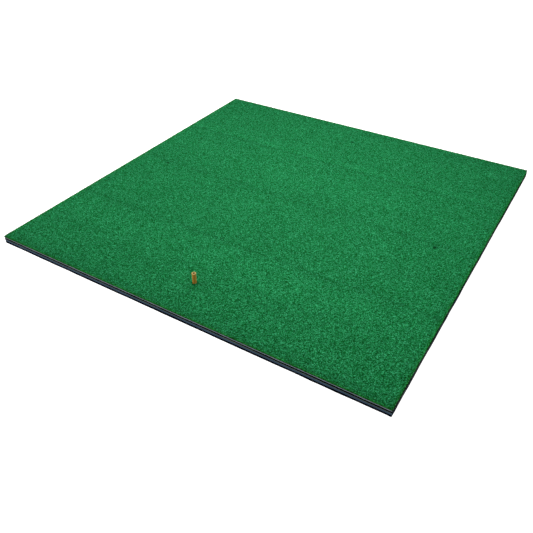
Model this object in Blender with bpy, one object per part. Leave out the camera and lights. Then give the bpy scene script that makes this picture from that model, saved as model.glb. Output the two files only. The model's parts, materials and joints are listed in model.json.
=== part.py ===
"""Golf hitting mat: a square, seven-layer bonded mat with a tee hole near the middle of each side,
and one rubber tee that stands in the front hole.

Frame: metres, +Z up. The origin is the centre of the mat's underside. X runs along the front edge,
which is the edge nearest the tee, and Y runs away from that edge.
"""

import math

import bmesh
import bpy
from mathutils import Vector

# Mat
MAT_SIDE = 1.5
GAP = 0.0003  # between pieces that rest on each other

# Each layer's thickness, from the floor up
GRIP_SHEET_T = 0.0074
BASE_FOAM_T = 0.0074
BOND_FILM_T = 0.0006
SHOCK_FOAM_T = 0.0064
LATEX_COAT_T = 0.0011
BACKING_T = 0.0013
MAT_T = 0.031  # floor to the tips of the pile, which takes what the other layers leave

# Tee holes, one near the middle of each side
HOLE_INSET = 0.148  # from the mat's edge to a hole's centre
HOLE_R = 0.0082
POCKET_R = 0.024  # hole in the grip sheet, where a tee's flange sits
HOLE_SEGMENTS = 32

# Rubber tee
TEE_LENGTH = 0.070
TEE_STEM_R = 0.0070
TEE_RIM_R = 0.0075
TEE_FLARE_H = 0.007  # height over which the stem widens to the rim
TEE_BORE_R = 0.0036
TEE_MOUTH_R = 0.0040
TEE_MOUTH_DEPTH = 0.0006
TEE_EDGE = 0.0005  # rounding of the tee's edges
FLANGE_R = 0.022
FLANGE_T = 0.004
FLANGE_EDGE_T = 0.0028
TEE_SEGMENTS = 48

# Bend of the tee: the stem turns about a level axis a little above the pile
BEND_ABOVE_PILE = 0.0055
BEND_LIMIT = math.radians(60)
BEND_CLEARANCE = 0.0004

TEE_HOLE = Vector((0, HOLE_INSET - MAT_SIDE / 2, 0))
BEND_Z = MAT_T + BEND_ABOVE_PILE


def clear_scene():
    """Empties the scene."""
    for obj in list(bpy.data.objects):
        bpy.data.objects.remove(obj, do_unlink=True)


def material(name, colour, roughness, metallic=0.0):
    """A Principled material with one colour."""
    mat = bpy.data.materials.new(name)
    mat.use_nodes = True
    shader = mat.node_tree.nodes["Principled BSDF"]
    shader.inputs["Base Color"].default_value = (*colour, 1)
    shader.inputs["Roughness"].default_value = roughness
    shader.inputs["Metallic"].default_value = metallic
    mat.diffuse_color = (*colour, 1)
    return mat


def add_object(name, bm, location, mat=None):
    """Links a bmesh to the scene as one object."""
    mesh = bpy.data.meshes.new(name)
    bmesh.ops.recalc_face_normals(bm, faces=bm.faces)
    bm.to_mesh(mesh)
    bm.free()
    obj = bpy.data.objects.new(name, mesh)
    obj.location = location
    if mat is not None:
        mesh.materials.append(mat)
    bpy.context.collection.objects.link(obj)
    return obj


def hole_centres():
    """The four tee holes: front, right, back and left."""
    reach = MAT_SIDE / 2 - HOLE_INSET
    return [Vector((0, -reach, 0)), Vector((reach, 0, 0)), Vector((0, reach, 0)), Vector((-reach, 0, 0))]


def hole_cutter(radius):
    """Four round punches that pass right through the mat."""
    bm = bmesh.new()
    for centre in hole_centres():
        made = bmesh.ops.create_cone(
            bm,
            cap_ends=True,
            segments=HOLE_SEGMENTS,
            radius1=radius,
            radius2=radius,
            depth=4 * MAT_T,
        )
        bmesh.ops.translate(bm, verts=made["verts"], vec=centre)
    cutter = add_object(f"punch_{radius * 1000:.0f}mm", bm, (0, 0, 0))
    cutter.hide_render = True
    cutter.display_type = "WIRE"
    return cutter


def layer(name, bottom, thickness, cutter, mat):
    """One square sheet of the mat with the tee holes punched through it."""
    bm = bmesh.new()
    bmesh.ops.create_cube(bm, size=1)
    bmesh.ops.scale(bm, verts=bm.verts, vec=(MAT_SIDE, MAT_SIDE, thickness))
    obj = add_object(name, bm, (0, 0, bottom + thickness / 2), mat)
    punch = obj.modifiers.new("tee_holes", "BOOLEAN")
    punch.operation = "DIFFERENCE"
    punch.solver = "EXACT"
    punch.object = cutter
    return obj


def turned(name, profile, origin, mat):
    """A closed ring turned about its own vertical axis from (radius, height) points; heights are the mat's."""
    bm = bmesh.new()
    verts = [bm.verts.new((r, 0, z - origin.z)) for r, z in profile]
    edges = [bm.edges.new((a, b)) for a, b in zip(verts, verts[1:] + verts[:1])]
    bmesh.ops.spin(
        bm,
        geom=verts + edges,
        cent=(0, 0, 0),
        axis=(0, 0, 1),
        angle=2 * math.pi,
        steps=TEE_SEGMENTS,
        use_merge=True,
    )
    obj = add_object(name, bm, origin, mat)
    obj.data.shade_smooth()
    obj.data.set_sharp_from_angle(angle=math.radians(35))
    return obj


def arc(centre_r, centre_z, radius, start, end, steps):
    """Points on an arc of a profile; angles in degrees from +R towards +Z."""
    points = []
    for i in range(steps + 1):
        a = math.radians(start + (end - start) * i / steps)
        points.append((centre_r + radius * math.cos(a), centre_z + radius * math.sin(a)))
    return points


def dish_height(r):
    """Height of the tee base's dished top, which stays below the stem at the bend's limit."""
    reach = TEE_STEM_R + BEND_CLEARANCE
    touch_r = reach * math.cos(BEND_LIMIT)
    touch_z = BEND_Z - reach * math.sin(BEND_LIMIT)
    return touch_z + (r - touch_r) / math.tan(BEND_LIMIT)


def tee_base(mat):
    """The tee's flange and the part of its stem that the mat holds."""
    foot = GAP
    top = foot + FLANGE_T
    edge = foot + FLANGE_EDGE_T
    neck = 0.002
    profile = [
        (TEE_BORE_R, foot),
        (FLANGE_R - TEE_EDGE, foot),
        (FLANGE_R, foot + TEE_EDGE),
        (FLANGE_R, edge - TEE_EDGE),
        (FLANGE_R - TEE_EDGE, edge),
        (TEE_STEM_R + 2 * neck, top),
        *arc(TEE_STEM_R + neck, top + neck, neck, -90, -180, 4),
        (TEE_STEM_R, dish_height(TEE_STEM_R)),
        (TEE_BORE_R, dish_height(TEE_BORE_R)),
    ]
    return turned("tee_base", profile, Vector((0, TEE_HOLE.y, foot)), mat)


def tee_stem(mat):
    """The free part of the tee, with a ball-shaped lower end centred on the bend's axis."""
    top = GAP + TEE_LENGTH
    start = math.degrees(math.acos(TEE_BORE_R / TEE_STEM_R))
    profile = [
        *arc(0, BEND_Z, TEE_STEM_R, -start, 0, 6),
        (TEE_STEM_R, top - TEE_FLARE_H),
        (TEE_RIM_R, top - TEE_FLARE_H / 3),
        *arc(TEE_RIM_R - TEE_EDGE, top - TEE_EDGE, TEE_EDGE, 0, 90, 3),
        (TEE_MOUTH_R, top),
        (TEE_BORE_R, top - TEE_MOUTH_DEPTH),
    ]
    return turned("tee_stem", profile, Vector((0, TEE_HOLE.y, BEND_Z)), mat)


def build_mat():
    """The seven bonded layers, from the floor up."""
    punch = hole_cutter(HOLE_R)
    pocket_punch = hole_cutter(POCKET_R)
    sheets = [
        ("grip_sheet", GRIP_SHEET_T, pocket_punch, material("grip_rubber", (0.012, 0.014, 0.017), 0.8)),
        ("base_foam", BASE_FOAM_T, punch, material("slate_foam", (0.05, 0.09, 0.12), 0.85)),
        ("bond_film", BOND_FILM_T, punch, material("melt_film", (0.16, 0.17, 0.10), 0.5)),
        ("shock_foam", SHOCK_FOAM_T, punch, material("black_foam", (0.012, 0.013, 0.014), 0.9)),
        ("latex_coat", LATEX_COAT_T, punch, material("latex", (0.42, 0.43, 0.50), 0.6)),
        ("primary_backing", BACKING_T, punch, material("woven_tape", (0.30, 0.32, 0.36), 0.7)),
    ]
    bottom = 0.0
    for name, thickness, cutter, mat in sheets:
        layer(name, bottom, thickness, cutter, mat)
        bottom += thickness + GAP
    pile = material("green_yarn", (0.015, 0.16, 0.05), 0.9)
    layer("turf_pile", bottom, MAT_T - bottom, punch, pile)


def build_tee():
    """The rubber tee in the front hole; its stem hangs on the base, so that pulling the base moves both."""
    rubber = material("gum_rubber", (0.38, 0.16, 0.04), 0.55)
    base = tee_base(rubber)
    stem = tee_stem(rubber)
    stem.parent = base
    stem.location = stem.location - base.location


clear_scene()
build_mat()
build_tee()
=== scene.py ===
"""Looks of the golf hitting mat: crimped green pile, its backing and coats, cut foams, and a rubber tee.

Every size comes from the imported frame; what is set here is surface detail: yarn, waves, cuts and wear.
"""

import json
import math

import bpy
import numpy as np
from mathutils.geometry import delaunay_2d_cdt
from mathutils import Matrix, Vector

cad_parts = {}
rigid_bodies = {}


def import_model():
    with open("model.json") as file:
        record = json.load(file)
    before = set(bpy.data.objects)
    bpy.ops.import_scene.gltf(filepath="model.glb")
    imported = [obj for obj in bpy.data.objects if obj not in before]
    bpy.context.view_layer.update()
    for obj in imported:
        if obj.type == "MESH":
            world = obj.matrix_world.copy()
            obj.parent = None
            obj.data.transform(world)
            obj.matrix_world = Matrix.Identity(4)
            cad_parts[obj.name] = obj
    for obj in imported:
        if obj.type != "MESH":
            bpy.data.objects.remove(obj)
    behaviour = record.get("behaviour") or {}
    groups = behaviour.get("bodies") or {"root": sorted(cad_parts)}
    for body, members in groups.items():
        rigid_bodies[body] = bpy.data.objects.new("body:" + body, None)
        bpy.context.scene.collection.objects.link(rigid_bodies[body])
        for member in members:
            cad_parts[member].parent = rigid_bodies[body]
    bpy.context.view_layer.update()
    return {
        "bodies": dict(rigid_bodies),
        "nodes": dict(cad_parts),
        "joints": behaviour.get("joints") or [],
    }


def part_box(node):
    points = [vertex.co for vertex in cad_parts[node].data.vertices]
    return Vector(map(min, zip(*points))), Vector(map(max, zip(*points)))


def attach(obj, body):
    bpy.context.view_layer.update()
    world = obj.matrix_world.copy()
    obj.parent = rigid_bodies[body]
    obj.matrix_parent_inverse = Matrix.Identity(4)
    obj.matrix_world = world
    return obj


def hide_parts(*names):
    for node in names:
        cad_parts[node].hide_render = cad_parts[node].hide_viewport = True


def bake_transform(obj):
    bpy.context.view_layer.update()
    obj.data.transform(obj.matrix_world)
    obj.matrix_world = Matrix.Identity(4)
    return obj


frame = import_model()

MM = 0.001
SEED = 20

# ---------------------------------------------------------------- what the frame says


def node_box(node):
    """Lowest and highest corner of a CAD node, as arrays."""
    low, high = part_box(node)
    return np.array(low), np.array(high)


PILE_LOW, PILE_HIGH = node_box("turf_pile")
HALF = float(PILE_HIGH[0])
TEE_LOW, TEE_TOP = node_box("tee_stem")
TEE_FOOT = node_box("tee_base")[0]
TEE_XY = (TEE_LOW[:2] + TEE_TOP[:2]) / 2
HOLE_REACH = float(np.linalg.norm(TEE_XY))
HOLES = HOLE_REACH * np.array([(0, -1), (1, 0), (0, 1), (-1, 0)], float)
BEND_Z = float(next(j["pos_m"][2] for j in frame["joints"] if j["name"] == "tee_bend"))


def wall_radius(node):
    """Radius of the front tee hole in a sheet, from the sheet's own vertices."""
    points = np.array([v.co[:2] for v in frame["nodes"][node].data.vertices])
    distance = np.linalg.norm(points - HOLES[0], axis=1)
    return float(distance[distance < HALF - HOLE_REACH].min())


HOLE_R = wall_radius("turf_pile")

# ---------------------------------------------------------------- mesh helpers

INSIDE_WITHOUT_HOLES = 2  # the triangles asked of delaunay_2d_cdt
NEAR = 1e-9  # points closer than this are one point


def mesh_object(name, verts, faces, material, smooth=True):
    """A mesh object from an array of points and a list of face arrays, each array of one face size."""
    mesh = bpy.data.meshes.new(name)
    corners = np.concatenate([f.ravel() for f in faces]).astype(np.int32)
    sizes = np.concatenate([np.full(len(f), f.shape[1]) for f in faces])
    starts = np.concatenate([[0], np.cumsum(sizes)[:-1]]).astype(np.int32)
    mesh.vertices.add(len(verts))
    mesh.vertices.foreach_set("co", np.asarray(verts, np.float32).ravel())
    mesh.loops.add(len(corners))
    mesh.loops.foreach_set("vertex_index", corners)
    mesh.polygons.add(len(starts))
    mesh.polygons.foreach_set("loop_start", starts)
    mesh.update(calc_edges=True)
    mesh.polygons.foreach_set("use_smooth", np.full(len(starts), smooth))
    mesh.materials.append(material)
    obj = bpy.data.objects.new(name, mesh)
    bpy.context.scene.collection.objects.link(obj)
    return obj


def point_attribute(obj, name, values):
    """Stores one number for each vertex, which the material reads by name."""
    layer = obj.data.attributes.new(name, "FLOAT", "POINT")
    layer.data.foreach_set("value", np.asarray(values, np.float32))


def filled(points, edges):
    """Triangles that fill the region inside edges, leaving holes out; they index points."""
    flat = [tuple(p) for p in points[:, :2]]
    _, _, faces, origin, _, _ = delaunay_2d_cdt(flat, edges.tolist(), [], INSIDE_WITHOUT_HOLES, NEAR)
    index = np.array([o[0] for o in origin])
    tris = index[np.array(faces, int)]
    a, b, c = (points[tris[:, i], :2] for i in range(3))
    area = (b[:, 0] - a[:, 0]) * (c[:, 1] - a[:, 1]) - (b[:, 1] - a[:, 1]) * (c[:, 0] - a[:, 0])
    tris[area < 0] = tris[area < 0][:, ::-1]
    return tris


def smooth_noise(shape, wavelength, rng):
    """Random field with a spread of 1 and features about wavelength cells across; it wraps round."""
    k = [np.fft.fftfreq(n) for n in shape]
    radius = np.sqrt(sum(g**2 for g in np.meshgrid(*k, indexing="ij")))
    filtered = np.fft.fftn(rng.standard_normal(shape)) * np.exp(-((radius * wavelength) ** 2))
    field = np.real(np.fft.ifftn(filtered))
    return (field - field.mean()) / field.std()


# ---------------------------------------------------------------- sheets

HOLE_POINTS = 48  # points round a tee hole
CUT_WAVE = 0.12  # metres; length of the waves in a knife-cut edge
TRIM = 1.4 * MM  # the pile and its backing are cut back this much from the right-hand edge
CUT_FLAT = ((0.0, 0.3 * MM), (0.12, 0.0), (0.88, 0.0), (1.0, 0.3 * MM))  # share of height, inset
CUT_BULGED = ((0.0, 0.6 * MM), (0.2, 0.2 * MM), (0.5, 0.0), (0.8, 0.2 * MM), (1.0, 0.6 * MM))
CUT_THIN = ((0.0, 0.1 * MM), (0.5, 0.0), (1.0, 0.1 * MM))


def square_loop(half, step):
    """Points round a square, anticlockwise, and each point's outward direction."""
    n = int(round(2 * half / step))
    t = np.linspace(-half, half, n, endpoint=False)
    full = np.full(n, half)
    sides = [(t, -full), (full, t), (-t, full), (-full, -t)]
    outward = [(0, -1), (1, 0), (0, 1), (-1, 0)]
    points = np.concatenate([np.stack(s, 1) for s in sides])
    normals = np.repeat(np.array(outward, float), n, axis=0)
    corner = np.arange(4) * n
    normals[corner] = (normals[corner] + normals[corner - 1]) / math.sqrt(2)
    return points, normals


def hole_loop(centre, radius):
    """Points round a hole, and each point's direction out of the sheet, towards the hole's middle."""
    a = np.linspace(0, 2 * math.pi, HOLE_POINTS, endpoint=False)
    ring = np.stack([np.cos(a), np.sin(a)], 1)
    return centre + radius * ring, -ring


def sheet(name, node, material, step, levels, wander, rough, rng, trim):
    """A sheet with knife-cut edges in a CAD sheet's place. levels are (share of height, inset) pairs.

    step is the spacing of the edge's points, wander how far the cut strays along its length, rough
    how far each point does, and trim how far the right-hand edge is cut back.
    """
    low, high = node_box(node)
    loops = [square_loop(HALF, step)]
    radius = wall_radius(node)
    loops += [hole_loop(c, radius) for c in HOLES]
    points = np.concatenate([p for p, _ in loops])
    normals = np.concatenate([n for _, n in loops])
    count = len(points)
    edges, start = [], 0
    for p, _ in loops:
        ring = np.arange(start, start + len(p))
        edges.append(np.stack([ring, np.roll(ring, -1)], 1))
        start += len(p)
    edges = np.concatenate(edges)
    right_edge = normals[:, 0] > 0.5
    stray = np.abs(smooth_noise((count,), CUT_WAVE / step, rng)) * wander + trim * right_edge
    stray[len(loops[0][0]) :] = wander / 2
    verts = []
    for share, inset in levels:
        inward = inset + stray + rough * np.abs(smooth_noise((count,), 2.0, rng))
        xy = points - normals * inward[:, None]
        z = np.full((count, 1), low[2] + share * (high[2] - low[2]))
        verts.append(np.hstack([xy, z]))
    tris = filled(points, edges)
    walls = []
    for k in range(len(levels) - 1):
        lower = edges + k * count
        upper = edges + (k + 1) * count
        walls.append(np.stack([lower[:, 0], lower[:, 1], upper[:, 1], upper[:, 0]], 1))
    quads = np.concatenate(walls)
    caps = np.concatenate([tris[:, ::-1], tris + (len(levels) - 1) * count])
    obj = mesh_object(name, np.concatenate(verts), [quads, caps], material)
    obj.data.set_sharp_from_angle(angle=math.radians(50))
    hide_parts(node)
    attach(obj, "mat")
    return obj


# ---------------------------------------------------------------- pile

PILE_STEP = 3 * MM  # spacing of the points on the pile's surface
TIP_ROOM = 1.0 * MM  # the pile's surface lies this far under the longest yarn ends
CRUMPLE = 2.0 * MM  # how far neighbouring points differ in height
JITTER = 0.33  # how far those points stray sideways, in steps
FIELD_REACH = 3  # a smooth noise rarely goes further than this many times its spread
CLUMP_HEIGHT = 0.35 * MM  # half the height from the hollows to the tops of the pile's clumps
WAVE_HEIGHT = 0.15 * MM  # the same for its slow waves
FOLD_STRAY = 2.5 * MM  # how far a fold line strays from straight
CREASE_DEPTH = 0.4 * MM
CREASE_WIDTH = 9 * MM
TONE_SPREAD = 0.006  # how much the yarn's lightness drifts over the mat
LEAN_REACH = 12 * MM  # how far in from an edge, and away from a fold, the yarn leans
YARN_PITCH = 4.2 * MM  # spacing of the yarn ends that stand out of the surface
EDGE_RISE = 0.8 * MM  # the pile stands up this much more along its edges
EDGE_RISE_REACH = 8 * MM
ON_EDGE = 0.1 * MM  # points this near the mat's outline are on it
TOP_FLARE = (-0.4, 1.3)  # how far the pile's top edge leans out, in mm
FLARE_BY_TEE = 0.3  # share of that round the tee
SIDE_LEVELS = ((0.55, -0.9, 0.4), (0.0, 0.2, 0.9))  # share of height, and least and most inset in mm
CUT_REACH = 4 * MM  # the yarn is painted yellower this near the mat's cut edge: painted light where the cut yarn ends catch it
TUFT_PITCH = 2.0 * MM  # spacing of the tufts, each of which has its own green
YARN_GLOSS = 0.03
FOLDS = (-0.352, 0.018, 0.362)  # Y of the creases where the mat was folded for shipping
BANDS_WITH_PAINTED_FOLD_SHADE = (  # low Y, high Y, softness of both ends, and how much lighter the pile is painted between them; the bands on the folds are painted shade in the creases and a painted highlight beside them
    (-0.515, -0.385, 0.010, 0.075),
    (-0.366, -0.338, 0.007, -0.010),
    (-0.004, 0.048, 0.009, -0.050),
    (0.145, 0.235, 0.015, 0.035),
    (0.346, 0.370, 0.006, -0.045),
    (0.372, 0.410, 0.008, 0.080),
)
THIN_PATCH = (0.045, -0.290, 0.065, -0.04)  # X, Y, radius and change of tone
EDGE_PAINTED_SHADE = (  # direction of an edge, how much darker the pile is painted there, and how far in that reaches: painted shade of the yarn's sides and shadows, where the pile also thins
    ((0, -1), 0.36, 28 * MM),
    ((1, 0), 0.30, 14 * MM),
    ((0, 1), 0.14, 35 * MM),
    ((-1, 0), 0.15, 12 * MM),
)


class Pile:
    """Fields over the mat that shape the pile and its colour, sampled at any point."""

    def __init__(self, rng):
        """The wavelengths are in steps: clumps are a few tufts wide, drifts 4 cm and waves 9 cm long."""
        self.n = int(round(2 * HALF / PILE_STEP))
        self.clump = smooth_noise((self.n, self.n), 1.5, rng)
        self.wave = smooth_noise((self.n, self.n), 30.0, rng)
        self.drift = smooth_noise((self.n, self.n), 14.0, rng)
        self.stray = smooth_noise((self.n,), 40.0, rng) * FOLD_STRAY

    def cell(self, along):
        """Index of the field cell at a distance along X or Y."""
        return np.clip(((along + HALF) / PILE_STEP).astype(int), 0, self.n - 1)

    def at(self, field, x, y):
        """Nearest value of a field at points."""
        return field[self.cell(x), self.cell(y)]

    def fold_offset(self, x, y, fold):
        """Signed distance from a fold line, which strays a little from straight."""
        return y - fold - self.stray[self.cell(x)]

    def crease(self, x, y):
        """1 in the bottom of a fold's crease, 0 away from it."""
        depth = np.zeros_like(x)
        for fold in FOLDS:
            depth += np.exp(-((self.fold_offset(x, y, fold) / CREASE_WIDTH) ** 2))
        return depth

    def height(self, x, y):
        """Mean height of the pile's surface."""
        edge = HALF - np.maximum(np.abs(x), np.abs(y))
        sink = TIP_ROOM + CLUMP_HEIGHT * (1 - self.at(self.clump, x, y) / FIELD_REACH)
        sink += WAVE_HEIGHT * (1 - self.at(self.wave, x, y) / FIELD_REACH)
        sink += CREASE_DEPTH * self.crease(x, y)
        sink -= EDGE_RISE * np.exp(-edge / EDGE_RISE_REACH)
        return PILE_HIGH[2] - sink

    def tone(self, x, y):
        """How light the yarn is painted over the mat: slow drifts in its tone, lighter and darker bands
        that folding left (on the folds, painted shade in the creases and a painted highlight beside them),
        and painted shade along the edges, where the pile also thins.
        """
        tone = 1 + TONE_SPREAD * self.at(self.drift, x, y) + TONE_SPREAD * self.at(self.wave, x, y)
        for low, high, soft, change in BANDS_WITH_PAINTED_FOLD_SHADE:
            enter = np.tanh(self.fold_offset(x, y, low) / soft)
            leave = np.tanh(self.fold_offset(x, y, high) / soft)
            tone += change * (enter - leave) / 2
        patch_x, patch_y, radius, change = THIN_PATCH
        tone += change * np.exp(-((x - patch_x) ** 2 + (y - patch_y) ** 2) / radius**2)
        for (out_x, out_y), change, reach in EDGE_PAINTED_SHADE:
            tone *= 1 - change * np.exp(-(HALF - out_x * x - out_y * y) / reach)
        return tone

    def lean(self, x, y):
        """Sideways lean of the yarn: outwards at the edges, least at the right, and away from folds."""
        along_x = np.where(x > 0, 0.3, -1.0) * np.exp(-(HALF - np.abs(x)) / LEAN_REACH)
        along_y = np.sign(y) * np.exp(-(HALF - np.abs(y)) / LEAN_REACH)
        for fold in FOLDS:
            d = self.fold_offset(x, y, fold)
            along_y = along_y + np.clip(d / (5 * MM), -1, 1) * 0.5 * np.exp(-((d / LEAN_REACH) ** 2))
        return np.stack([along_x, along_y], 1)


def pile_grid(pile):
    """Points and quads of the pile's surface, with the tee holes left out and their rims made round."""
    n = pile.n
    line = np.linspace(-HALF, HALF, n + 1)
    x, y = (g.ravel() for g in np.meshgrid(line, line, indexing="ij"))
    xy = np.stack([x, y], 1)
    i, j = (g.ravel() for g in np.meshgrid(np.arange(n), np.arange(n), indexing="ij"))
    corner = i * (n + 1) + j
    quads = np.stack([corner, corner + n + 1, corner + n + 2, corner + 1], 1)
    centre = xy[quads].mean(1)
    keep = np.ones(len(quads), bool)
    for hole in HOLES:
        keep &= np.linalg.norm(centre - hole, axis=1) > HOLE_R
    rim = np.intersect1d(quads[keep].ravel(), quads[~keep].ravel())
    for hole in HOLES:
        offset = xy[rim] - hole
        distance = np.linalg.norm(offset, axis=1, keepdims=True)
        near = (distance < 2 * HOLE_R)[:, 0]
        xy[rim[near]] = hole + offset[near] / distance[near] * HOLE_R
    quads = quads[keep]
    used, packed = np.unique(quads.ravel(), return_inverse=True)
    return xy[used], packed.reshape(quads.shape)


def border_edges(quads):
    """Edges that only one quad has, in that quad's direction."""
    edges = np.concatenate([quads[:, [k, (k + 1) % 4]] for k in range(4)])
    key = np.sort(edges, 1)
    code = key[:, 0].astype(np.int64) * (quads.max() + 1) + key[:, 1]
    _, index, times = np.unique(code, return_index=True, return_counts=True)
    return edges[index[times == 1]]


def pile_body(pile, material, rng):
    """The mass of the pile: a crumpled top, ragged sides and a flat bottom on the backing."""
    xy, quads = pile_grid(pile)
    edges = border_edges(quads)
    ring, edges_in_ring = np.unique(edges.ravel(), return_inverse=True)
    edges_in_ring = edges_in_ring.reshape(edges.shape)
    inner = np.ones(len(xy), bool)
    inner[ring] = False
    xy[inner] += rng.uniform(-JITTER, JITTER, (inner.sum(), 2)) * PILE_STEP
    z = pile.height(xy[:, 0], xy[:, 1]) - CRUMPLE * rng.random(len(xy))
    inward = -pull_out(xy[ring])
    top = np.column_stack([xy, z])
    by_tee = np.linalg.norm(xy[ring] - HOLES[0], axis=1) < 2 * HOLE_R
    flare = rng.uniform(*TOP_FLARE, len(ring)) * np.where(by_tee, FLARE_BY_TEE, 1.0) * MM
    trimmed = np.where(xy[ring, 0] > HALF - ON_EDGE, TRIM, 0.0)[:, None]
    top[ring, :2] -= inward * (flare[:, None] - trimmed)
    levels = [top]
    for share, low, high in SIDE_LEVELS:
        side = xy[ring] + inward * (rng.uniform(low, high, (len(ring), 1)) * MM + trimmed)
        side_z = PILE_LOW[2] + share * (PILE_HIGH[2] - PILE_LOW[2])
        levels.append(np.column_stack([side, np.full(len(ring), side_z)]))
    middle, bottom = len(top), len(top) + len(ring)
    upper = np.stack(
        [edges[:, 1], edges[:, 0], middle + edges_in_ring[:, 0], middle + edges_in_ring[:, 1]], 1
    )
    lower = np.stack(
        [
            middle + edges_in_ring[:, 1],
            middle + edges_in_ring[:, 0],
            bottom + edges_in_ring[:, 0],
            bottom + edges_in_ring[:, 1],
        ],
        1,
    )
    floor = bottom + filled(levels[2], edges_in_ring)[:, ::-1]
    verts = np.concatenate(levels)
    obj = mesh_object("pile_mass", verts, [quads, upper, lower, floor], material, smooth=False)
    finish_yarn(obj, pile, rng.random(len(verts)), verts)
    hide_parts("turf_pile")
    return obj


def pull_out(xy):
    """Unit direction out of the pile at points on its border: off the mat's edge, or into a hole."""
    out = np.zeros_like(xy)
    on_x = np.abs(xy[:, 0]) > HALF - ON_EDGE
    on_y = np.abs(xy[:, 1]) > HALF - ON_EDGE
    out[on_x, 0] = np.sign(xy[on_x, 0])
    out[on_y, 1] = np.sign(xy[on_y, 1])
    for hole in HOLES:
        offset = hole - xy
        distance = np.linalg.norm(offset, axis=1)
        near = distance < 2 * HOLE_R
        out[near] = offset[near] / distance[near, None]
    return out / np.maximum(np.linalg.norm(out, axis=1, keepdims=True), 1e-9)


def finish_yarn(obj, pile, shade, verts):
    """Stores the numbers that the yarn's material reads, and puts the piece on the mat."""
    depth = (verts[:, 2] - PILE_LOW[2]) / (PILE_HIGH[2] - PILE_LOW[2])
    edge = HALF - np.abs(verts[:, :2]).max(1)
    # cut: where the material paints the olive light of the edge's yarn ends
    point_attribute(obj, "cut", np.clip(np.exp(-edge / CUT_REACH), 0, 1))
    point_attribute(obj, "shade", shade)
    # depth: height in the pile, which the material turns into painted shade near the roots
    point_attribute(obj, "depth", np.clip(depth, 0, 1))
    # tone: the yarn's tone, with painted shade along the edges and on the folds
    point_attribute(obj, "tone", pile.tone(verts[:, 0], verts[:, 1]))
    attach(obj, "mat")


YARN_SEED = SEED + 5
TAPER = (0.5, 0.42)  # radius of a yarn end at its foot and half-way up, in widths
TILT, CURL = (0.15, 0.75), (0.1, 1.1)  # radians; least and most
LENGTH, WIDTH = (3.2, 5.0), (0.8, 1.5)  # mm
OUTER_REACH = 2.5 * MM  # yarn this near the mat's edge is straighter and thinner
OUTER_TILT, OUTER_CURL, OUTER_WIDTH = (0.2, 0.7), (-0.3, 0.3), (0.7, 1.1)
EDGE_ROWS = (0.5 * MM, 1.2 * MM, 2.2 * MM)  # rows of yarn along the mat's edge
EDGE_ROW_STEP = 1.5 * MM
HOLE_ROWS = (0.5 * MM, 1.6 * MM, 3.0 * MM)  # rings of yarn round a hole
COLLAR_REACH = 4 * MM  # yarn this near the front hole stands up round the tee
COLLAR_RISE = 2.2 * MM
CEILING, COLLAR_CEILING = 0.4, 1.8  # how far yarn may rise over the CAD's pile, in mm


def spikes(base, tilt, turn, curl, length, width):
    """Closed, bent, three-sided yarn ends. Returns points (7 for each) and faces."""
    n = len(base)
    lean = np.stack([np.cos(turn), np.sin(turn)], 1)
    level = np.stack([-np.sin(turn), np.cos(turn), np.zeros(n)], 1)
    centres, rights = [base], []
    for angle in (tilt, tilt + curl):
        axis = np.column_stack([lean * np.sin(angle)[:, None], np.cos(angle)])
        centres.append(centres[-1] + axis * (length / 2)[:, None])
        rights.append(np.column_stack([lean * np.cos(angle)[:, None], -np.sin(angle)]))
    verts = np.empty((n, 7, 3))
    spin = np.random.default_rng(YARN_SEED).uniform(0, 2 * math.pi, n)
    for ring, share in enumerate(TAPER):
        half = width * share
        for k in range(3):
            a = spin + k * 2 * math.pi / 3
            side = rights[ring] * np.cos(a)[:, None] + level * np.sin(a)[:, None]
            verts[:, ring * 3 + k] = centres[ring] + side * half[:, None]
    verts[:, 6] = centres[2]
    first = (np.arange(n) * 7)[:, None]
    quads = [first + np.array([[k, 3 + k, 3 + (k + 1) % 3, (k + 1) % 3]]) for k in range(3)]
    tris = [first + np.array([[3 + k, 6, 3 + (k + 1) % 3]]) for k in range(3)]
    tris.append(first + np.array([[0, 1, 2]]))
    return verts.reshape(-1, 3), [np.concatenate(quads), np.concatenate(tris)]


def yarn_roots(rng):
    """Where yarn ends stand: over the mat, and closer together along its edges and round the holes."""
    n = int(2 * HALF / YARN_PITCH)
    line = (np.arange(n) + 0.5) * 2 * HALF / n - HALF
    over = np.stack([g.ravel() for g in np.meshgrid(line, line, indexing="ij")], 1)
    over += rng.uniform(-0.35, 0.35, over.shape) * YARN_PITCH
    sets = [over]
    for inset in EDGE_ROWS:
        points, normals = square_loop(HALF - inset, EDGE_ROW_STEP)
        tangent = np.stack([-normals[:, 1], normals[:, 0]], 1)
        sets.append(points + tangent * rng.uniform(-0.8, 0.8, (len(points), 1)) * MM)
    for hole in HOLES:
        for gap in HOLE_ROWS:
            ring = hole_loop(hole, HOLE_R + gap)[0]
            sets.append(ring + rng.uniform(-0.3, 0.3, ring.shape) * MM)
    roots = np.concatenate(sets)
    inside = (np.abs(roots).max(1) < HALF - 0.3 * MM) & (roots[:, 0] < HALF - TRIM)
    for hole in HOLES:
        inside &= np.linalg.norm(roots - hole, axis=1) > HOLE_R + 0.3 * MM
    return roots[inside]


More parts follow.
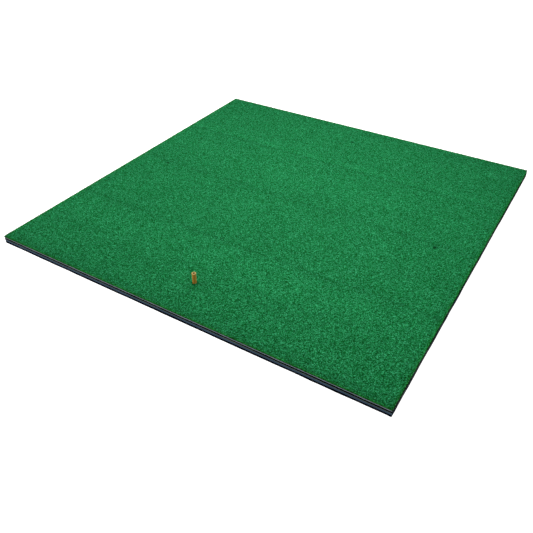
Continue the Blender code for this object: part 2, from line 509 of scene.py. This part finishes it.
def yarn_ends(pile, material, rng):
    """Cut ends of crimped yarn that stand out of the pile, lean off its edges and close over the holes."""
    roots = yarn_roots(rng)
    n = len(roots)
    x, y = roots.T
    edge = HALF - np.abs(roots).max(1)
    turn = rng.uniform(-math.pi, math.pi, n)
    push = np.stack([np.cos(turn), np.sin(turn)], 1) + 2.2 * pile.lean(x, y)
    for hole in HOLES:
        offset = hole - roots
        distance = np.linalg.norm(offset, axis=1)
        near = distance < HOLE_R + 5 * MM
        push[near] += 2.5 * offset[near] / distance[near, None]
    turn = np.arctan2(push[:, 1], push[:, 0])
    tilt = rng.uniform(*TILT, n)
    curl = rng.uniform(*CURL, n)
    length = rng.uniform(*LENGTH, n) * MM
    width = rng.uniform(*WIDTH, n) * MM
    z = pile.height(x, y) - CRUMPLE * 0.6 - 1.2 * MM
    by_tee = np.linalg.norm(roots - HOLES[0], axis=1) < HOLE_R + COLLAR_REACH
    z[by_tee] += COLLAR_RISE
    tilt[by_tee] *= 0.5
    outer = edge < OUTER_REACH
    z[outer] = rng.uniform(PILE_LOW[2] + 1 * MM, PILE_HIGH[2] - 3.4 * MM, outer.sum())
    tilt[outer] = rng.uniform(*OUTER_TILT, outer.sum())
    curl[outer] = rng.uniform(*OUTER_CURL, outer.sum())
    width[outer] = rng.uniform(*OUTER_WIDTH, outer.sum()) * MM
    verts, faces = spikes(np.column_stack([roots, z]), tilt, turn, curl, length, width)
    ceiling = PILE_HIGH[2] + np.where(by_tee, COLLAR_CEILING, CEILING) * MM
    verts[:, 2] = np.minimum(verts[:, 2], np.repeat(ceiling, 7))
    verts = keep_off_tee(verts)
    obj = mesh_object("yarn_ends", verts, faces, material)
    finish_yarn(obj, pile, np.repeat(rng.random(n), 7), verts)
    return obj


def keep_off_tee(verts):
    """Moves yarn that reaches into a hole back from its axis, further where the tee stands."""
    verts = verts.copy()
    for index, hole in enumerate(HOLES):
        clear = TEE_RIM_R + 0.15 * MM if index == 0 else HOLE_R * 0.5
        offset = verts[:, :2] - hole
        distance = np.linalg.norm(offset, axis=1)
        near = distance < clear
        verts[near, :2] = hole + offset[near] / distance[near, None] * clear
    return verts


# ---------------------------------------------------------------- tee

TEE_SEGMENTS = 96
MOUTH = 0.9 * MM  # width of the ring round the bore over which the bore's painted shade fades out
SCUFFED = 1.2 * MM  # depth of the scuffed part of the rim
FLANGE_T = 4 * MM
FLANGE_EDGE = 0.9 * MM  # rounding of the flange's rim
FLANGE_RIM_T = 2.8 * MM  # thickness of the flange at its rim
FILLET = 2.2 * MM  # between flange and stem
LIP = 0.8 * MM  # rounding of the tee's rim
BORE_LIP = 0.5 * MM  # rounding of the bore's mouth
FLARE_FROM, FLARE_LENGTH = 7.6 * MM, 5.4 * MM  # where the stem starts to widen, below the top
SEAM_HEIGHT, SEAM_WIDTH = 0.16 * MM, 0.07  # the moulding seam; its width is in radians
WAVINESS = 0.05 * MM  # how far the moulded surface strays
BEND_BELOW, BEND_ABOVE = 8 * MM, 9 * MM  # the stem bends from this far below to this far above its joint
TEE_RIM_R = float(TEE_TOP[0] - TEE_LOW[0]) / 2
FLANGE_R = float(np.ptp([c[0] for c in node_box("tee_base")])) / 2


def radii(node, low, high):
    """Smallest and largest distance from the tee's axis of a node's points between two heights."""
    points = np.array([v.co for v in frame["nodes"][node].data.vertices])
    points = points[(points[:, 2] > low) & (points[:, 2] < high)]
    distance = np.linalg.norm(points[:, :2] - TEE_XY, axis=1)
    return float(distance.min()), float(distance.max())


BORE_R, STEM_R = radii("tee_stem", BEND_Z - BEND_BELOW, BEND_Z + 1 * MM)


def arc(centre, radius, start, end, steps):
    """Profile points on an arc, angles in degrees."""
    angles = np.radians(np.linspace(start, end, steps))
    return [(centre[0] + radius * math.cos(a), centre[1] + radius * math.sin(a)) for a in angles]


def tee_profile():
    """Closed profile of the tee, from the flange's underside, up the outside and down the bore."""
    bore, stem = BORE_R, STEM_R
    foot, top = float(TEE_FOOT[2]), float(TEE_TOP[2])
    flange_top = foot + FLANGE_T
    rim = FLANGE_R - FLANGE_EDGE
    points = [(bore + 0.4 * MM, foot), (rim, foot)]
    points += arc((rim, foot + FLANGE_EDGE), FLANGE_EDGE, -80, 0, 4)
    points += arc((rim, foot + FLANGE_RIM_T - FLANGE_EDGE), FLANGE_EDGE, 10, 75, 4)
    points += arc((stem + FILLET, flange_top + FILLET - 0.1 * MM), FILLET, -95, -180, 7)
    points += [(stem, z) for z in np.linspace(flange_top + 4 * MM, top - 8 * MM, 36)]
    for share in np.linspace(0.1, 1, 8):
        flare = share * share * (3 - 2 * share)
        points.append((stem + (TEE_RIM_R - stem) * flare, top - FLARE_FROM + share * FLARE_LENGTH))
    points += arc((TEE_RIM_R - LIP, top - LIP), LIP, 0, 90, 6)
    points += [(bore + MOUTH, top)]
    points += arc((bore + BORE_LIP, top - BORE_LIP), BORE_LIP, 90, 180, 5)
    points += [(bore, z) for z in np.linspace(top - 4 * MM, foot + 0.6 * MM, 30)]
    return np.array(points)


def rubber_tee(material, rng):
    """The whole tee as one moulded piece, in place of its two CAD halves, which meet where the real tee
    bends.
    """
    profile = tee_profile()
    count = len(profile)
    angles = np.linspace(0, 2 * math.pi, TEE_SEGMENTS, endpoint=False)
    r = np.repeat(profile[None, :, 0], TEE_SEGMENTS, 0)
    z = np.repeat(profile[None, :, 1], TEE_SEGMENTS, 0)
    outside = r > profile[:, 0].min() + 1.5 * MM
    seam = np.exp(-((np.sin(angles) / SEAM_WIDTH) ** 2))[:, None]
    r = r + outside * seam * SEAM_HEIGHT
    r = r + outside * WAVINESS * smooth_noise((TEE_SEGMENTS, count), 5.0, rng)
    r = np.minimum(r, np.where(z > BEND_Z, TEE_RIM_R + 0.15 * MM, FLANGE_R))
    verts = np.stack(
        [TEE_XY[0] + r * np.cos(angles)[:, None], TEE_XY[1] + r * np.sin(angles)[:, None], z], 2
    )
    i, j = (g.ravel() for g in np.meshgrid(np.arange(TEE_SEGMENTS), np.arange(count), indexing="ij"))
    right, up = (i + 1) % TEE_SEGMENTS, (j + 1) % count
    quads = np.stack([i * count + j, right * count + j, right * count + up, i * count + up], 1)
    obj = mesh_object("rubber_tee", verts.reshape(-1, 3), [quads], material)
    # bore: where the material paints the shade inside the tee's hole
    point_attribute(obj, "bore", np.clip((BORE_R + MOUTH - r) / MOUTH, 0, 1).ravel())
    point_attribute(obj, "rim", np.clip((z - TEE_TOP[2] + SCUFFED) / SCUFFED, 0, 1).ravel())
    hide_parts("tee_base", "tee_stem")
    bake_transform(obj)
    return obj


# ---------------------------------------------------------------- materials

MIX_FACTOR, MIX_A, MIX_B, MIX_RESULT = 0, 6, 7, 2  # a Mix node's colour inputs and output, by place
NOISE_ROUGHNESS = 0.55  # how strong the finer layers of every noise are
RIBS = 40.0  # wave scale of the grip pad's ribs, which puts them about 8 mm apart
WEAVE = 130.0  # wave scale of the backing's tapes, which are about 2.4 mm apart


class Look:
    """A material under construction: a Principled shader and the nodes that feed it."""

    def __init__(self, name, **inputs):
        self.material = bpy.data.materials.new(name)
        self.material.use_nodes = True
        self.tree = self.material.node_tree
        self.shader = self.tree.nodes["Principled BSDF"]
        self.place = self.node("ShaderNodeTexCoord").outputs["Object"]
        self.height = None
        for key, value in inputs.items():
            self.shader.inputs[key.replace("_", " ")].default_value = value

    def node(self, kind, **settings):
        """A new node; settings that name an input set or feed it, others set the node itself."""
        made = self.tree.nodes.new(kind)
        for key, value in settings.items():
            label = key.replace("_", " ")
            if label in made.inputs:
                self.feed(made.inputs[label], value)
            else:
                setattr(made, key, value)
        return made

    def feed(self, socket, value):
        """Sets an input to a value, or links it when the value is a socket."""
        if isinstance(value, bpy.types.NodeSocket):
            self.tree.links.new(value, socket)
        else:
            socket.default_value = value

    def maths(self, operation, a, b=0.0, c=0.0):
        """One Math node; a, b and c are numbers or sockets."""
        made = self.node("ShaderNodeMath", operation=operation)
        for socket, value in zip(made.inputs, (a, b, c)):
            self.feed(socket, value)
        return made.outputs[0]

    def stretched(self, x, y, z):
        """Object coordinates scaled along each axis."""
        made = self.node("ShaderNodeMapping", Vector=self.place)
        made.inputs["Scale"].default_value = (x, y, z)
        return made.outputs[0]

    def warped(self, vector, scale, reach):
        """A vector pushed about by noise."""
        push = self.node("ShaderNodeTexNoise", Vector=self.place, Scale=scale).outputs["Color"]
        made = self.node("ShaderNodeVectorMath", operation="MULTIPLY_ADD")
        for socket, value in zip(made.inputs, (push, (reach, reach, 0), vector)):
            self.feed(socket, value)
        return made.outputs[0]

    def noise(self, scale, detail=3.0, vector=None):
        """Noise between 0 and 1; scale is in features per metre."""
        made = self.node("ShaderNodeTexNoise", Vector=vector or self.place, Scale=scale)
        made.inputs["Detail"].default_value = detail
        made.inputs["Roughness"].default_value = NOISE_ROUGHNESS
        return made.outputs["Fac"]

    def cells(self, scale):
        """Distance to the middle of each foam cell."""
        return self.node("ShaderNodeTexVoronoi", Vector=self.place, Scale=scale).outputs["Distance"]

    def random_cells(self, scale, vector):
        """A random number between 0 and 1 for each cell."""
        made = self.node("ShaderNodeTexVoronoi", Vector=vector, Scale=scale)
        split = self.node("ShaderNodeSeparateColor", Color=made.outputs["Color"])
        return split.outputs["Red"]

    def number(self, name):
        """A number stored on the mesh."""
        return self.node("ShaderNodeAttribute", attribute_name=name).outputs["Fac"]

    def ramp(self, factor, *stops):
        """Colours along a factor; stops are (position, (r, g, b))."""
        made = self.tree.nodes.new("ShaderNodeValToRGB")
        self.tree.links.new(factor, made.inputs[0])
        points = made.color_ramp.elements
        while len(points) < len(stops):
            points.new(0.5)
        for point, (position, colour) in zip(points, stops):
            point.position = position
            point.color = (*colour, 1)
        return made.outputs["Color"]

    def mix(self, factor, a, b, blend="MIX"):
        """Two colours mixed; each is a socket or (r, g, b)."""
        made = self.node("ShaderNodeMix", data_type="RGBA", blend_type=blend)
        self.feed(made.inputs[MIX_FACTOR], factor)
        for index, colour in ((MIX_A, a), (MIX_B, b)):
            self.feed(made.inputs[index], (*colour, 1) if isinstance(colour, tuple) else colour)
        return made.outputs[MIX_RESULT]

    def scaled(self, colour, factor):
        """A colour times a number."""
        made = self.node("ShaderNodeVectorMath", operation="SCALE")
        self.tree.links.new(colour, made.inputs[0])
        self.tree.links.new(factor, made.inputs["Scale"])
        return made.outputs[0]

    def bump(self, height, depth):
        """Adds relief; height is a socket and depth is in metres."""
        made = self.node("ShaderNodeBump", Height=height, Distance=depth)
        if self.height is not None:
            self.tree.links.new(self.height, made.inputs["Normal"])
        self.height = made.outputs["Normal"]

    def done(self, colour, roughness=None):
        """Connects the colour, roughness and relief, and returns the material."""
        self.tree.links.new(colour, self.shader.inputs["Base Color"])
        if roughness is not None:
            self.tree.links.new(roughness, self.shader.inputs["Roughness"])
        if self.height is not None:
            self.tree.links.new(self.height, self.shader.inputs["Normal"])
        return self.material


def yarn_look():
    """Crimped nylon yarn: every tuft and every end its own green, with painted glints at the ramp's light
    end, painted darker towards its root as shade deep in the pile, and a painted olive light along the cut
    edge.
    """
    look = Look("green_yarn_look", Roughness=0.6, Specular_IOR_Level=YARN_GLOSS)
    tuft = look.random_cells(1 / TUFT_PITCH, look.warped(look.stretched(1, 1, 0), 700, 2.2 * MM))
    fine = look.noise(1100, detail=2.0)
    end = look.maths("MULTIPLY_ADD", fine, 0.55, look.maths("MULTIPLY", look.number("shade"), 0.25))
    shade = look.maths("MULTIPLY_ADD", tuft, 0.55, look.maths("MULTIPLY", end, 0.65))
    # the ramp's whiter, bluer light end is partly painted glints off the yarn, besides its own lighter
    # greens
    colour = look.ramp(
        shade,
        (0.12, (0.0003, 0.025, 0.001)),
        (0.40, (0.0035, 0.166, 0.027)),
        (0.62, (0.0175, 0.366, 0.105)),
        (0.90, (0.1100, 0.840, 0.386)),
    )
    # painted light: cut yarn ends along the edge tinted olive where they catch the light
    painted_edge_light = look.mix(1.0, colour, (0.95, 1.0, 0.22), "MULTIPLY")
    colour = look.mix(look.number("cut"), colour, painted_edge_light)
    # painted shade: the yarn darkens towards its root, deep in the pile
    depth = look.maths("MULTIPLY_ADD", look.number("depth"), 0.75, 0.25)
    # painted shade of the edges and folds comes in with the tone
    colour = look.scaled(colour, look.maths("MULTIPLY", depth, look.number("tone")))
    crimp = look.noise(2600, detail=1.0, vector=look.stretched(1, 1, 0.4))
    look.bump(crimp, 0.3 * MM)
    rough = look.maths("MULTIPLY_ADD", fine, 0.3, 0.45)
    return look.done(colour, rough)


def woven_look():
    """Flat polypropylene tape, woven over and under."""
    look = Look("woven_backing_look", Roughness=0.6, Specular_IOR_Level=0.1)
    warp = look.node("ShaderNodeTexWave", Vector=look.place, Scale=WEAVE, Distortion=0.4)
    weft = look.node("ShaderNodeTexWave", Vector=look.place, Scale=WEAVE, Distortion=0.4)
    weft.bands_direction = "Y"
    weave = look.maths("MAXIMUM", warp.outputs["Fac"], weft.outputs["Fac"])
    colour = look.mix(weave, (0.14, 0.18, 0.19), (0.32, 0.38, 0.42))
    dirt = look.noise(35)
    colour = look.mix(look.maths("MULTIPLY", dirt, 0.4), colour, (0.15, 0.20, 0.16))
    look.bump(weave, 0.3 * MM)
    return look.done(colour)


def latex_look():
    """Cured latex: pale, lumpy where it soaked round the tufts."""
    look = Look("latex_look", Roughness=0.55, Specular_IOR_Level=0.1)
    lumps = look.noise(350, detail=4.0)
    colour = look.ramp(lumps, (0.3, (0.24, 0.29, 0.36)), (0.7, (0.46, 0.54, 0.66)))
    look.bump(lumps, 0.4 * MM)
    return look.done(colour, look.maths("MULTIPLY_ADD", lumps, 0.4, 0.4))


def foam_look(name, dark, light, cell, depth):
    """Closed-cell foam: fine cut cells, with faint streaks that the knife left along the edge."""
    look = Look(name, Roughness=0.85, Specular_IOR_Level=0.0)
    cells = look.cells(cell)
    streaks = look.noise(420, detail=2.0, vector=look.stretched(0.06, 0.06, 1.0))
    patches = look.noise(28, detail=3.0)
    shade = look.maths("MULTIPLY_ADD", cells, 0.5, look.maths("MULTIPLY", streaks, 0.5))
    shade = look.maths("MULTIPLY_ADD", patches, 0.3, look.maths("MULTIPLY", shade, 0.8))
    colour = look.ramp(shade, (0.25, dark), (0.75, light))
    look.bump(cells, depth)
    look.bump(streaks, depth)
    return look.done(colour, look.maths("MULTIPLY_ADD", patches, 0.25, 0.7))


def film_look():
    """Hot-melt film: a thin olive line with a slight shine."""
    look = Look("melt_film_look", Roughness=0.5, Specular_IOR_Level=0.1)
    colour = look.ramp(look.noise(160), (0.3, (0.09, 0.11, 0.07)), (0.7, (0.19, 0.22, 0.14)))
    return look.done(colour)


def grip_look():
    """Black rubber: dark cut sides, and a dusty underside with fine moulded ribs."""
    look = Look("grip_rubber_look", Roughness=0.75, Specular_IOR_Level=0.0)
    grain = look.noise(1400, detail=3.0)
    dust = look.noise(18, detail=5.0)
    sides = look.mix(look.maths("MULTIPLY", dust, 0.5), (0.000, 0.001, 0.003), (0.003, 0.006, 0.012))
    ribs = look.node("ShaderNodeTexWave", Vector=look.place, Scale=RIBS, Distortion=0.0)
    worn = look.maths("MULTIPLY", ribs.outputs["Fac"], dust)
    below = look.mix(worn, (0.008, 0.009, 0.011), (0.060, 0.062, 0.064))
    normal = look.node("ShaderNodeNewGeometry").outputs["Normal"]
    facing = look.node("ShaderNodeSeparateXYZ", Vector=normal)
    down = look.maths("LESS_THAN", facing.outputs["Z"], -0.5)
    colour = look.mix(down, sides, below)
    look.bump(look.maths("MULTIPLY", ribs.outputs["Fac"], down), 0.8 * MM)
    look.bump(grain, 0.15 * MM)
    return look.done(colour, look.maths("MULTIPLY_ADD", grain, 0.3, 0.6))


def gum_look():
    """Moulded gum rubber: amber brown, scuffed on the rim, and painted near black in the bore as shade."""
    look = Look("gum_rubber_look", Roughness=0.5, Specular_IOR_Level=0.25)
    flow = look.noise(90, detail=4.0, vector=look.stretched(1, 1, 0.5))
    grain = look.noise(1500, detail=2.0)
    colour = look.ramp(flow, (0.3, (0.580, 0.235, 0.036)), (0.7, (0.800, 0.375, 0.070)))
    outside_bore_shade = look.maths("SUBTRACT", 1.0, look.number("bore"))
    scuff = look.maths("MULTIPLY", look.number("rim"), look.maths("ADD", grain, 0.35))
    scuff = look.maths("MULTIPLY", scuff, outside_bore_shade)
    colour = look.mix(scuff, colour, (0.58, 0.445, 0.15))
    # painted shade: the bore is painted near black, fading over its mouth
    colour = look.mix(look.number("bore"), colour, (0.045, 0.014, 0.001))
    look.bump(grain, 0.12 * MM)
    look.bump(flow, 0.25 * MM)
    return look.done(colour, look.maths("MULTIPLY_ADD", flow, 0.3, 0.35))


# ---------------------------------------------------------------- floor, light and camera


FLOOR_REACH = 30.0
WORLD_STRENGTH = 0.35
SOFT_BOXES = (  # name, place, aim, size, power
    ("key_box", (-5.6, -3.4, 5.2), (0, 0, 0), 3.2, 385),
    ("top_box", (-0.12, 0.40, 1.35), (-0.12, 0.40, 0), 0.9, 9.5),
    ("side_box", (0.42, -0.26, 1.2), (0.42, -0.26, 0), 0.6, 3.0),
)


def seen_directly(tree):
    """1 for what the camera sees directly, 0 for light that falls on other things."""
    return tree.nodes.new("ShaderNodeLightPath").outputs["Is Camera Ray"]


def floor():
    """A plain white floor. It goes down with the tee, because the mat is lifted off a standing tee."""
    reach = FLOOR_REACH
    corners = np.array([(-reach, -reach, 0), (reach, -reach, 0), (reach, reach, 0), (-reach, reach, 0)])
    look = Look("floor_white", Roughness=0.9, Specular_IOR_Level=0.0)
    look.shader.inputs["Emission Color"].default_value = (1, 1, 1, 1)
    look.tree.links.new(seen_directly(look.tree), look.shader.inputs["Emission Strength"])
    colour = look.ramp(look.noise(3), (0.0, (0.62, 0.62, 0.62)), (1.0, (0.66, 0.66, 0.66)))
    obj = mesh_object("floor", corners, [np.array([[0, 1, 2, 3]])], look.done(colour))
    follow = obj.constraints.new("COPY_LOCATION")
    follow.target = frame["bodies"]["tee_base"]
    follow.use_x = follow.use_y = False


def area_light(name, place, aim, size, power):
    """A square soft box at a place, turned towards a point."""
    data = bpy.data.lights.new(name, "AREA")
    data.size = size
    data.energy = power
    obj = bpy.data.objects.new(name, data)
    obj.location = place
    direction = np.array(aim, float) - np.array(place, float)
    yaw = math.atan2(direction[1], direction[0]) - math.pi / 2
    pitch = math.atan2(math.hypot(direction[0], direction[1]), -direction[2])
    obj.rotation_euler = (pitch, 0, yaw)
    obj.visible_camera = False
    bpy.context.scene.collection.objects.link(obj)


def lights():
    """White surroundings, a soft box far off to the left, and two small ones over the mat."""
    world = bpy.data.worlds.new("studio")
    world.use_nodes = True
    tree = world.node_tree
    strength = tree.nodes.new("ShaderNodeMapRange")
    strength.inputs["To Min"].default_value = WORLD_STRENGTH
    strength.inputs["To Max"].default_value = 1.0
    tree.links.new(seen_directly(tree), strength.inputs["Value"])
    shade = tree.nodes["Background"]
    shade.inputs["Color"].default_value = (1, 1, 1, 1)
    tree.links.new(strength.outputs["Result"], shade.inputs["Strength"])
    bpy.context.scene.world = world
    for box in SOFT_BOXES:
        area_light(*box)


SENSOR_WIDTH = 36
CAMERA_LENS = 40.5
CAMERA_AZIMUTH = math.radians(31.68)
CAMERA_ELEVATION = math.radians(37.71)
CAMERA_AIM = np.array((0.1334, -0.3718, 0.0))
CAMERA_DISTANCE = 2.076


def camera():
    """Looks down on the mat from in front of its right-hand corner."""
    data = bpy.data.cameras.new("camera")
    data.lens = CAMERA_LENS
    data.sensor_width = SENSOR_WIDTH
    data.clip_end = 100
    obj = bpy.data.objects.new("camera", data)
    a, e = CAMERA_AZIMUTH, CAMERA_ELEVATION
    back = np.array((math.sin(a) * math.cos(e), -math.cos(a) * math.cos(e), math.sin(e)))
    obj.location = CAMERA_AIM + back * CAMERA_DISTANCE
    obj.rotation_euler = (math.pi / 2 - e, 0, a)
    bpy.context.scene.collection.objects.link(obj)
    bpy.context.scene.camera = obj
    bpy.context.scene.view_settings.view_transform = "Standard"


# ---------------------------------------------------------------- build


def build():
    """All the pieces, from the floor up."""
    rng = np.random.default_rng(SEED)
    grip = grip_look()
    slate = foam_look("slate_foam_look", (0.032, 0.060, 0.100), (0.086, 0.130, 0.196), 1100, 0.25 * MM)
    black = foam_look("black_foam_look", (0.000, 0.001, 0.002), (0.003, 0.005, 0.006), 1300, 0.25 * MM)
    film, latex, woven = film_look(), latex_look(), woven_look()
    sheets = (  # piece, CAD node, material, slot, then in mm: step, wander, rough and trim; levels
        ("grip_pad", "grip_sheet", grip, "grip_rubber", (4, 0.5, 0.05, 0), CUT_FLAT),
        ("lower_foam_pad", "base_foam", slate, "slate_foam", (3, 0.5, 0.12, 0), CUT_BULGED),
        ("film_line", "bond_film", film, "melt_film", (3, 0.3, 0.15, 0), CUT_THIN),
        ("upper_foam_pad", "shock_foam", black, "black_foam", (3, 0.5, 0.12, 0), CUT_BULGED),
        ("latex_layer", "latex_coat", latex, "latex", (2, 0.3, 0.25, TRIM / MM), CUT_THIN),
        ("woven_cloth", "primary_backing", woven, "woven_backing", (1.2, 0.3, 0.3, TRIM / MM), CUT_THIN),
    )
    for name, node, look, slot, sizes, levels in sheets:
        step, wander, rough, trim = (size * MM for size in sizes)
        sheet(name, node, look, step, levels, wander, rough, rng, trim)
    pile = Pile(rng)
    yarn = yarn_look()
    pile_body(pile, yarn, rng)
    yarn_ends(pile, yarn, rng)
    rubber_tee(gum_look(), rng)


build()
floor()
lights()
camera()
